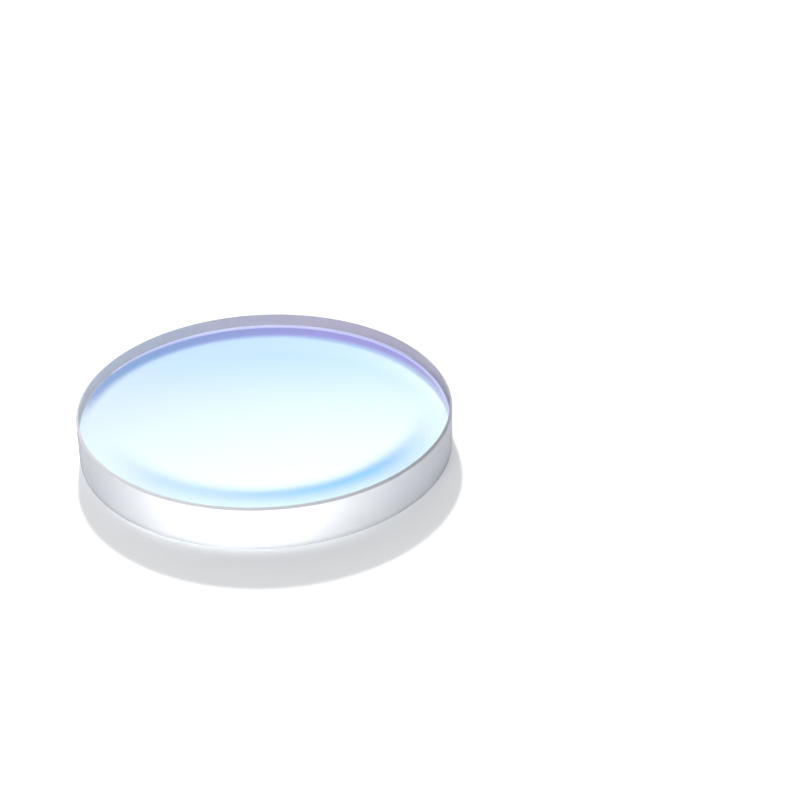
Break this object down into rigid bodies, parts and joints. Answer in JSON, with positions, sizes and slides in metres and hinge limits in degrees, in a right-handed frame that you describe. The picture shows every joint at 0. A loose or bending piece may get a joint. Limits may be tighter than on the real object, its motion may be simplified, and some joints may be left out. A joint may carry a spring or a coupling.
{
  "type": "laser protective window",
  "caption": "Round plane-parallel glass window with coated polished faces, a ground edge and bevelled rims, to shield laser optics.",
  "frame": {"origin": "centre of the lower polished face, which the window rests on", "axes": "+Z along the optical axis, from the seat face to the front face; X and Y across the disc"},
  "size_m": [0.0508, 0.0508, 0.0063],
  "materials": {
    "coated_glass": "polished sapphire with an anti-reflection coating on both faces and a fine-ground edge"
  },
  "bodies": {
    "root": {"window": "coated_glass"}
  },
  "joints": []
}
